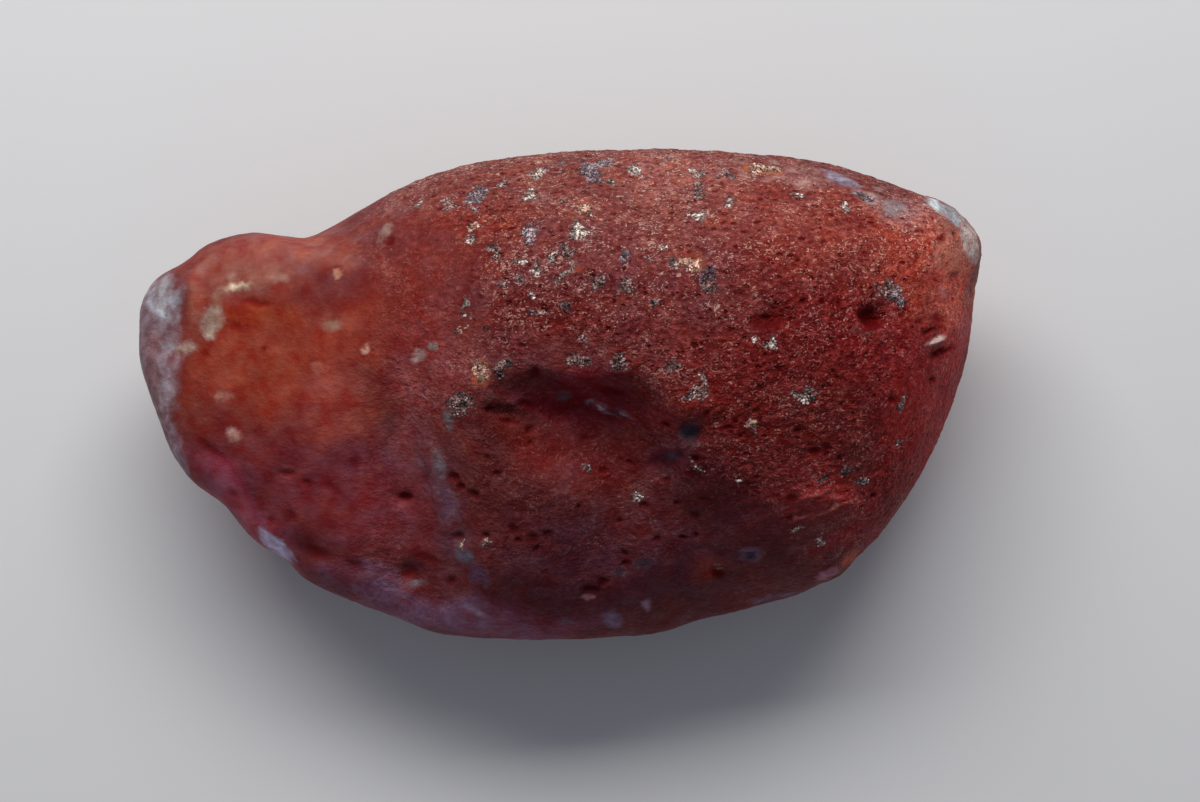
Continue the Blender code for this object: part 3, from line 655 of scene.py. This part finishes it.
# The sides and the underside have such patches too, strewn by a noise.
shift = Vector(HIDDEN_PATCH_DRAW)
strewn = np.array([noise.noise(Vector(point) / HIDDEN_PATCH_SPACING + shift) for point in uneven])
below_rim = 1 - smooth_rise(-0.5, -0.25, normals[:, 2])
clear = smooth_rise(CLEAR_HEIGHT, 2 * CLEAR_HEIGHT, points[:, 2])
strewn = smooth_rise(0.4, 0.55, strewn) * below_rim * clear
mineral += (linear(HIDDEN_PATCH_COLOUR) - mineral) * smooth_rise(0.0, PATCH_FRINGE, strewn)[:, None]
keep(pebble.data, "mineral", mineral)
keep(pebble.data, "druse", np.maximum(druse, strewn))


# Frosted carnelian: chalcedony struck dull by gravel. It scatters light in its top layer, so it looks
# like wax, with dark wet reds in the pits deepened by painted shade, a painted highlight on each crest of
# the peel and painted shade in its hollows, and pale flecks painted as glints on everything between.

CLOUD_SIZE = 1.0 * MM
HAZE_SIZE = 1.5 * MM
MOTTLE_SIZE = 0.8 * MM
PEEL_GRAIN = 0.21 * MM
FINE_PIT_SPACING = 0.36 * MM
FINE_BEND = 0.2 * MM
FLECK_GRAIN = 0.15 * MM
RIND_GRAIN = 0.45 * MM
QUARTZ_GRAIN = 0.07 * MM
QUARTZ_CLUSTER = 0.3 * MM
SPATTER_GRAIN = 0.16 * MM
FINEST_GRAIN = 0.09 * MM
FINE_RELIEF = 0.17 * MM
# What the finest grain, the fine pits and the quartz grains add to the peel's relief.
GRAIN_SHARE = 0.35
FINE_PIT_SHARE = -0.45
QUARTZ_SHARE = 0.6
SCATTER_REACH = 0.45 * MM
# The layers of colour from the lowest up. Each multiplies the red, green and blue of the bare stain, or
# of the colour that is under the layer, and adds a little.
COLOUR_LAYERS = {
    "orange cloud": ("stain", (1.22, 1.06, 0.82), (0.0, 0.0, 0.0)),
    "plum cloud": ("stain", (0.72, 0.66, 0.95), (0.0, 0.0, 0.0)),
    "milky haze": ("under", (1.1, 1.5, 1.55), (0.018, 0.008, 0.01)),
    "milky mottle": ("under", (1.18, 1.65, 1.75), (0.01, 0.005, 0.006)),
    "blood mottle": ("under", (0.88, 0.33, 0.35), (0.0, 0.0, 0.0)),
    # Painted highlight on the peel's crests, and painted shade in its hollows.
    "painted crest highlight": ("under", (1.6, 1.9, 1.8), (0.05, 0.014, 0.012)),
    "painted dip shade": ("under", (0.55, 0.14, 0.13), (0.0, 0.0, 0.0)),
    # Fine pits: wet red floors darkened by painted shade.
    "fine pit": ("stain", (0.52, 0.085, 0.085), (0.0, 0.0, 0.0)),
    # The pits: wet red, darkened by painted shade.
    "pit": ("stain", (0.7, 0.15, 0.18), (0.0, 0.0, 0.0)),
    # Pale flecks painted as glints.
    "painted glint fleck": ("stain", (1.4, 4.2, 4.0), (0.29, 0.19, 0.145)),
}

frosted_carnelian.use_nodes = True
look = frosted_carnelian.node_tree
shader = look.nodes["Principled BSDF"]
spot = add(look, "ShaderNodeTexCoord", out="Object")
stain_in, mineral_in = [
    add(look, "ShaderNodeAttribute", attribute_name=name, out="Color") for name in ("stain", "mineral")
]
druse_in, rind_in, pit_in, struck_in = [
    add(look, "ShaderNodeAttribute", attribute_name=name, out="Fac")
    for name in ("druse", "rind", "pit", "struck")
]

# Clouding: patches of 1 mm that lean to orange or to plum, and a milky haze of 1.5 mm.
drift = add(look, "ShaderNodeTexNoise",
            {"Vector": spot, "Scale": 1 / CLOUD_SIZE, "Detail": 5.0, "Roughness": 0.6})
orange_share = add(look, "ShaderNodeMapRange", {0: drift, 1: 0.5, 2: 0.66, 4: 0.75})
plum_share = add(look, "ShaderNodeMapRange", {0: drift, 1: 0.5, 2: 0.34, 4: 0.45})
haze = add(look, "ShaderNodeTexNoise",
           {"Vector": spot, "Scale": 1 / HAZE_SIZE, "Detail": 6.0, "Roughness": 0.65})
haze_share = add(look, "ShaderNodeMapRange", {0: haze, 1: 0.5, 2: 0.74, 4: 0.6})

# A softer mottle of 0.8 mm, milky pink and blood red, which shows most where the skin is smooth.
mottle = add(look, "ShaderNodeTexNoise",
             {"Vector": spot, "Scale": 1 / MOTTLE_SIZE, "Detail": 3.0, "Roughness": 0.5})
smooth_here = add(look, "ShaderNodeMapRange", {0: struck_in, 1: 0.2, 2: 1.0, 3: 1.0, 4: 0.5})
milk = add(look, "ShaderNodeMapRange", {0: mottle, 1: 0.51, 2: 0.66, 4: 0.62})
blood = add(look, "ShaderNodeMapRange", {0: mottle, 1: 0.49, 2: 0.35, 4: 0.7})
milk_share, blood_share = [
    add(look, "ShaderNodeMath", {0: part, 1: smooth_here}, operation="MULTIPLY") for part in (milk, blood)
]

# Orange peel about 0.2 mm across, a little wider than tall: a pale painted highlight on each crest and dark
# red painted shade in each hollow.
flat = add(look, "ShaderNodeVectorMath", {0: spot, 1: (0.87, 1.13, 1.13)}, operation="MULTIPLY")
peel = add(look, "ShaderNodeTexNoise",
           {"Vector": flat, "Scale": 1 / PEEL_GRAIN, "Detail": 3.0, "Roughness": 0.6})
crest = add(look, "ShaderNodeMapRange", {0: peel, 1: 0.52, 2: 0.63, 4: 0.75}, interpolation_type="SMOOTHSTEP")
dip = add(look, "ShaderNodeMapRange", {0: peel, 1: 0.49, 2: 0.35, 4: 0.7}, interpolation_type="SMOOTHSTEP")
peel_here = add(look, "ShaderNodeMapRange", {0: struck_in, 1: 0.15, 2: 0.9})
crest_highlight_share, dip_shade_share = [
    add(look, "ShaderNodeMath", {0: part, 1: peel_here}, operation="MULTIPLY") for part in (crest, dip)
]

# Percussion pits too fine for the mesh: 0.15 to 0.35 mm wide, warped and in crowds, with wet red floors
# darkened by painted shade.
bend = add(look, "ShaderNodeTexNoise", {"Vector": spot, "Scale": 1 / FINE_BEND, "Detail": 1.0}, out="Color")
bent = add(look, "ShaderNodeVectorMath", {0: bend, 1: (FINE_BEND,) * 3, 2: flat}, operation="MULTIPLY_ADD")
cells = add(look, "ShaderNodeTexVoronoi", {"Vector": bent, "Scale": 1 / FINE_PIT_SPACING}, out=None)
draw = add(look, "ShaderNodeSeparateXYZ", {0: cells["Color"]}, out=None)
pit_radius = add(look, "ShaderNodeMapRange", {0: draw[0], 3: 0.2, 4: 0.5})
pit_floor = add(look, "ShaderNodeMath", {0: pit_radius, 1: PIT_FLOOR}, operation="MULTIPLY")
bowl = add(look, "ShaderNodeMapRange", {0: cells["Distance"], 1: pit_radius, 2: pit_floor},
           interpolation_type="SMOOTHSTEP")
crowd = add(look, "ShaderNodeMapRange", {0: haze, 1: 0.62, 2: 0.36, 3: 0.25, 4: 0.85})
crowd_share = add(look, "ShaderNodeMath", {0: crowd, 1: struck_in}, operation="MULTIPLY")
pit_here = add(look, "ShaderNodeMath", {0: draw[1], 1: crowd_share}, operation="LESS_THAN")
fine_pit = add(look, "ShaderNodeMath", {0: bowl, 1: pit_here}, operation="MULTIPLY")
fine_here = add(look, "ShaderNodeMapRange", {0: struck_in, 1: 0.3, 2: 0.9})
fine_share = add(look, "ShaderNodeMath", {0: fine_pit, 1: fine_here}, operation="MULTIPLY")
# The pits' tint, wet red darkened by painted shade.
pit_share = add(look, "ShaderNodeMath", {0: pit_in, 1: 0.95}, operation="MULTIPLY")

# Pale curly flecks of about 0.1 mm in crowds, painted as glints, only where the skin was struck hard.
fleck = add(look, "ShaderNodeTexNoise",
            {"Vector": flat, "Scale": 1 / FLECK_GRAIN, "Detail": 2.0, "Distortion": 1.6})
crowding = add(look, "ShaderNodeMapRange", {0: haze, 1: 0.35, 2: 0.65, 3: 0.67, 4: 0.545})
fleck_over = add(look, "ShaderNodeMath", {0: fleck, 1: crowding}, operation="SUBTRACT")
fleck_here = add(look, "ShaderNodeMapRange", {0: fleck_over, 1: 0.0, 2: 0.07, 4: 0.9})
hard_struck = add(look, "ShaderNodeMapRange", {0: struck_in, 1: 0.3, 2: 1.0})
fleck_out = add(look, "ShaderNodeMath", {0: fleck_here, 1: hard_struck}, operation="MULTIPLY")
off_pits = add(look, "ShaderNodeMapRange", {0: pit_in, 1: 0.1, 2: 0.6, 3: 1.0, 4: 0.0})
glint_fleck_share = add(look, "ShaderNodeMath", {0: fleck_out, 1: off_pits}, operation="MULTIPLY")

# The layers laid over each other.
shares = {
    "orange cloud": orange_share, "plum cloud": plum_share, "milky haze": haze_share,
    "milky mottle": milk_share, "blood mottle": blood_share, "painted crest highlight": crest_highlight_share,
    "painted dip shade": dip_shade_share, "fine pit": fine_share, "pit": pit_share, "painted glint fleck": glint_fleck_share,
}
colour = stain_in
for name, (tinted, factors, lift) in COLOUR_LAYERS.items():
    source = stain_in if tinted == "stain" else colour
    layer = add(look, "ShaderNodeVectorMath", {0: source, 1: factors, 2: lift}, operation="MULTIPLY_ADD")
    colour = add(look, "ShaderNodeMix", {0: shares[name], 6: colour, 7: layer}, data_type="RGBA", out=2)

# Rinds: white and grey silica with ragged edges and a mottle of 0.45 mm.
ragged = add(look, "ShaderNodeTexNoise",
             {"Vector": spot, "Scale": 1 / RIND_GRAIN, "Detail": 3.0, "Roughness": 0.5})
rind_edge = add(look, "ShaderNodeMath", {0: ragged, 1: -0.5}, operation="ADD")
rind_sum = add(look, "ShaderNodeMath", {0: rind_in, 1: rind_edge}, operation="ADD")
rind_share = add(look, "ShaderNodeMapRange", {0: rind_sum, 1: 0.0, 2: 0.95, 4: 0.92})
rind_here = add(look, "ShaderNodeMapRange", {0: rind_in, 1: 0.02, 2: 0.15})
rind_cover = add(look, "ShaderNodeMath", {0: rind_share, 1: rind_here}, operation="MULTIPLY")
rind_light = add(look, "ShaderNodeMapRange", {0: ragged, 1: 0.3, 2: 0.7, 3: 0.7, 4: 1.3})
silica = add(look, "ShaderNodeVectorMath", {0: mineral_in, "Scale": rind_light}, operation="SCALE")
rinded = add(look, "ShaderNodeMix", {0: rind_cover, 6: colour, 7: silica}, data_type="RGBA", out=2)

# Beds of the druse: grey, white and black grains of 0.07 mm, spattered at the edges of each patch.
grains = add(look, "ShaderNodeTexVoronoi", {"Vector": spot, "Scale": 1 / QUARTZ_GRAIN}, out="Color")
grain_draw = add(look, "ShaderNodeSeparateXYZ", {0: grains}, out=None)
grain_light = add(look, "ShaderNodeMapRange", {0: grain_draw[0], 1: 0.2, 2: 1.0, 3: 0.12, 4: 2.0})
cluster = add(look, "ShaderNodeTexNoise", {"Vector": spot, "Scale": 1 / QUARTZ_CLUSTER, "Detail": 1.5})
cluster_light = add(look, "ShaderNodeMapRange", {0: cluster, 1: 0.38, 2: 0.62, 3: 0.35, 4: 1.6})
bed_light = add(look, "ShaderNodeMath", {0: grain_light, 1: cluster_light}, operation="MULTIPLY")
quartz = add(look, "ShaderNodeVectorMath", {0: mineral_in, "Scale": bed_light}, operation="SCALE")
spatter = add(look, "ShaderNodeTexNoise",
              {"Vector": spot, "Scale": 1 / SPATTER_GRAIN, "Detail": 3.0, "Roughness": 0.65})
spatter_edge = add(look, "ShaderNodeMath", {0: spatter, 1: 2.2, 2: -1.1}, operation="MULTIPLY_ADD")
grain_edge = add(look, "ShaderNodeMath", {0: grain_draw[1], 1: 0.5, 2: spatter_edge},
                 operation="MULTIPLY_ADD")
druse_sum = add(look, "ShaderNodeMath", {0: druse_in, 1: grain_edge}, operation="ADD")
druse_solid = add(look, "ShaderNodeMapRange", {0: druse_sum, 1: 0.42, 2: 0.78, 4: 0.9})
druse_here = add(look, "ShaderNodeMapRange", {0: druse_in, 1: 0.02, 2: 0.2})
druse_share = add(look, "ShaderNodeMath", {0: druse_solid, 1: druse_here}, operation="MULTIPLY")
skin_colour = add(look, "ShaderNodeMix", {0: druse_share, 6: rinded, 7: quartz}, data_type="RGBA", out=2)
look.links.new(skin_colour, shader.inputs["Base Color"])

# Struck skin is dull, 0.42 to 0.56, and the beds of quartz are glossier, 0.3. Light goes furthest into
# the stone where the skin is smooth.
skin_rough = add(look, "ShaderNodeMapRange", {0: drift, 1: 0.3, 2: 0.7, 3: 0.42, 4: 0.56})
quartz_rough = add(look, "ShaderNodeMix", {0: druse_share, 2: skin_rough, 3: 0.3})
through = add(look, "ShaderNodeMapRange", {0: struck_in, 1: 0.2, 2: 1.0, 3: 0.4, 4: 0.08})
look.links.new(quartz_rough, shader.inputs["Roughness"])
look.links.new(through, shader.inputs["Subsurface Weight"])
# Frost makes the skin pale along its outline, and red light goes further into it than green or blue.
for socket, value in {
    "IOR": 1.54, "Specular IOR Level": 0.04,
    "Sheen Weight": 0.07, "Sheen Roughness": 0.22, "Sheen Tint": (*linear("#bca8b2"), 1),
    "Subsurface Radius": (1.0, 0.3, 0.2), "Subsurface Scale": SCATTER_REACH,
}.items():
    shader.inputs[socket].default_value = value

# Relief too fine for the mesh: peel and grain of 0.01 to 0.05 mm, and the fine pits, 0.08 mm deep.
fine = add(look, "ShaderNodeTexNoise", {"Vector": spot, "Scale": 1 / FINEST_GRAIN, "Detail": 2.0})
peel_fine = add(look, "ShaderNodeMath", {0: fine, 1: GRAIN_SHARE, 2: peel}, operation="MULTIPLY_ADD")
struck_height = add(look, "ShaderNodeMapRange", {0: struck_in, 3: 0.1, 4: 1.0})
peel_height = add(look, "ShaderNodeMath", {0: peel_fine, 1: struck_height}, operation="MULTIPLY")
worn_height = add(look, "ShaderNodeMath", {0: fine_share, 1: FINE_PIT_SHARE, 2: peel_height},
                  operation="MULTIPLY_ADD")
druse_height = add(look, "ShaderNodeMath", {0: druse_share, 1: grain_draw[0]}, operation="MULTIPLY")
all_height = add(look, "ShaderNodeMath", {0: druse_height, 1: QUARTZ_SHARE, 2: worn_height},
                 operation="MULTIPLY_ADD")
bump = add(look, "ShaderNodeBump", {"Height": all_height, "Strength": 1.0, "Distance": FINE_RELIEF})
look.links.new(bump, shader.inputs["Normal"])

pebble.data.shade_smooth()
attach(pebble, "root")
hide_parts("agate")


# The quartz druse itself. Six-sided crystals about a tenth of a millimetre wide or less grew out of the
# patches at all angles, and some of them are clear, so they look dark.

CRYSTAL_WIDTH = 0.07 * MM
CRYSTAL_LENGTH = 0.065 * MM
CRYSTAL_TILT = 0.7
CRYSTALS_PER_MM2 = 190
CRYSTAL_SEED = 11

growth, given, result = new_tree("quartz druse", {
    "Width": "NodeSocketFloat", "Length": "NodeSocketFloat", "Per square metre": "NodeSocketFloat",
    "Seed": "NodeSocketInt", "Finish": "NodeSocketMaterial",
})
druse_in = add(growth, "GeometryNodeInputNamedAttribute", {"Name": "druse"}, data_type="FLOAT")
thick = add(growth, "ShaderNodeMapRange", {0: druse_in, 1: 0.3, 2: 1.0})
apart = add(growth, "ShaderNodeMath", {0: given["Width"], 1: 0.7}, operation="MULTIPLY")
seats = add(growth, "GeometryNodeDistributePointsOnFaces",
            {"Mesh": given["Geometry"], "Density Max": given["Per square metre"], "Density Factor": thick,
             "Distance Min": apart, "Seed": given["Seed"]}, out=None, distribute_method="POISSON")

# One crystal: a six-sided cone whose middle ring is pushed out to a shoulder, with its foot in the stone.
cone = add(growth, "GeometryNodeMeshCone",
           {"Vertices": 6, "Side Segments": 2, "Radius Top": 0.0, "Radius Bottom": 0.5, "Depth": 1.0})
corner = add(growth, "GeometryNodeInputPosition")
corner_height = add(growth, "ShaderNodeSeparateXYZ", {0: corner}, out=2)
shoulder = add(growth, "ShaderNodeMath", {0: corner_height, 1: 0.5, 2: 0.2}, operation="COMPARE")
outward = add(growth, "ShaderNodeVectorMath", {0: corner, 1: (1.0, 1.0, 0.2)}, operation="MULTIPLY")
crystal = add(growth, "GeometryNodeSetPosition",
              {"Geometry": cone, "Selection": shoulder, "Offset": outward})
rooted = add(growth, "GeometryNodeTransform", {"Geometry": crystal, "Translation": (0.0, 0.0, -0.55)})
tilt = add(growth, "FunctionNodeRandomValue",
           {0: (-CRYSTAL_TILT, -CRYSTAL_TILT, 0.0), 1: (CRYSTAL_TILT, CRYSTAL_TILT, 6.28),
            "Seed": given["Seed"]}, data_type="FLOAT_VECTOR")
turned = add(growth, "FunctionNodeRotateRotation", {0: seats["Rotation"], 1: tilt}, rotation_space="LOCAL")
size_draw = add(growth, "FunctionNodeRandomValue", {2: 0.5, 3: 1.6, "Seed": 2}, data_type="FLOAT", out=1)
wide = add(growth, "ShaderNodeMath", {0: given["Width"], 1: size_draw}, operation="MULTIPLY")
long = add(growth, "ShaderNodeMath", {0: given["Length"], 1: size_draw}, operation="MULTIPLY")
size = add(growth, "ShaderNodeCombineXYZ", {0: wide, 1: wide, 2: long})
crystals = add(growth, "GeometryNodeInstanceOnPoints",
               {"Points": seats["Points"], "Instance": rooted, "Rotation": turned, "Scale": size})
tone_draw = add(growth, "FunctionNodeRandomValue", {2: 0.0, 3: 1.0, "Seed": 5}, data_type="FLOAT", out=1)
toned = add(growth, "GeometryNodeStoreNamedAttribute",
            {"Geometry": crystals, "Name": "tone", "Value": tone_draw}, data_type="FLOAT", domain="INSTANCE")
real = add(growth, "GeometryNodeRealizeInstances", {0: toned})
finished = add(growth, "GeometryNodeSetMaterial", {"Geometry": real, "Material": given["Finish"]})
growth.links.new(finished, result[0])

quartz_glass = bpy.data.materials.new("drusy quartz")
druse_piece = bpy.data.objects.new("quartz_druse", pebble.data.copy())
bpy.context.scene.collection.objects.link(druse_piece)
grow(druse_piece, growth, {
    "Width": CRYSTAL_WIDTH, "Length": CRYSTAL_LENGTH, "Per square metre": CRYSTALS_PER_MM2 / MM ** 2,
    "Seed": CRYSTAL_SEED, "Finish": quartz_glass,
})

# Drusy quartz: glassy crystals, milky or clear, whose faces flash one at a time.
quartz_glass.use_nodes = True
look = quartz_glass.node_tree
shader = look.nodes["Principled BSDF"]
mineral_in = add(look, "ShaderNodeAttribute", attribute_name="mineral", out="Color")
tone_in = add(look, "ShaderNodeAttribute", attribute_name="tone", out="Fac")
milk = add(look, "ShaderNodeMapRange", {0: tone_in, 1: 0.3, 2: 1.0, 3: 0.08, 4: 2.2})
spot = add(look, "ShaderNodeTexCoord", out="Object")
cluster = add(look, "ShaderNodeTexNoise", {"Vector": spot, "Scale": 1 / QUARTZ_CLUSTER, "Detail": 1.5})
cluster_light = add(look, "ShaderNodeMapRange", {0: cluster, 1: 0.38, 2: 0.62, 3: 0.35, 4: 1.6})
light = add(look, "ShaderNodeMath", {0: milk, 1: cluster_light}, operation="MULTIPLY")
milky = add(look, "ShaderNodeVectorMath", {0: mineral_in, "Scale": light}, operation="SCALE")
look.links.new(milky, shader.inputs["Base Color"])
shader.inputs["Roughness"].default_value = 0.3
shader.inputs["IOR"].default_value = 1.544

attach(druse_piece, "root")


# The table, the light and the camera. A plain pale surface, one large soft light beyond the shoulder,
# a weak cool fill from everywhere, and a camera straight above, as the photograph was taken.

TABLE_SIDE = 1.2
TABLE_DROP = 0.01 * MM
PHOTO_WIDTH = 48.5 * MM
RIM_HEIGHT = 6 * MM
VIEW_CENTRE = (1.6 * MM, -0.25 * MM)
LENS = 100
SENSOR = 36
WINDOW_WIDTH = 0.17
WINDOW_DEPTH = 0.06
WINDOW_PLACE = (-0.01, 0.11, 0.118)
WINDOW_POWER = 0.25
FILL_STRENGTH = 0.3

bpy.ops.mesh.primitive_plane_add(size=TABLE_SIDE, location=(0, 0, -TABLE_DROP))
table = bpy.context.active_object
table.name = "table"
matt_paper = bpy.data.materials.new("matt pale paper")
matt_paper.use_nodes = True
paper = matt_paper.node_tree.nodes["Principled BSDF"]
paper.inputs["Base Color"].default_value = (*linear("#e4e3e1"), 1)
paper.inputs["Roughness"].default_value = 0.9
table.data.materials.append(matt_paper)

key = bpy.data.lights.new("soft window", "AREA")
key.shape = "RECTANGLE"
key.size = WINDOW_WIDTH
key.size_y = WINDOW_DEPTH
key.energy = WINDOW_POWER
key_light = bpy.data.objects.new("soft window", key)
key_light.location = WINDOW_PLACE
toward_stone = Vector((0, 0, RIM_HEIGHT)) - key_light.location
key_light.rotation_euler = toward_stone.to_track_quat("-Z", "Y").to_euler()
bpy.context.scene.collection.objects.link(key_light)

world = bpy.data.worlds.new("cool fill")
bpy.context.scene.world = world
world.use_nodes = True
world.node_tree.nodes["Background"].inputs["Color"].default_value = (*linear("#c4c9da"), 1)
world.node_tree.nodes["Background"].inputs["Strength"].default_value = FILL_STRENGTH
bpy.context.scene.view_settings.view_transform = "Standard"

camera = bpy.data.cameras.new("camera")
camera.lens = LENS
camera.sensor_width = SENSOR
camera.clip_start = 1 * MM
above = bpy.data.objects.new("camera", camera)
above.location = (*VIEW_CENTRE, RIM_HEIGHT + PHOTO_WIDTH * LENS / SENSOR)
bpy.context.scene.collection.objects.link(above)
bpy.context.scene.camera = above
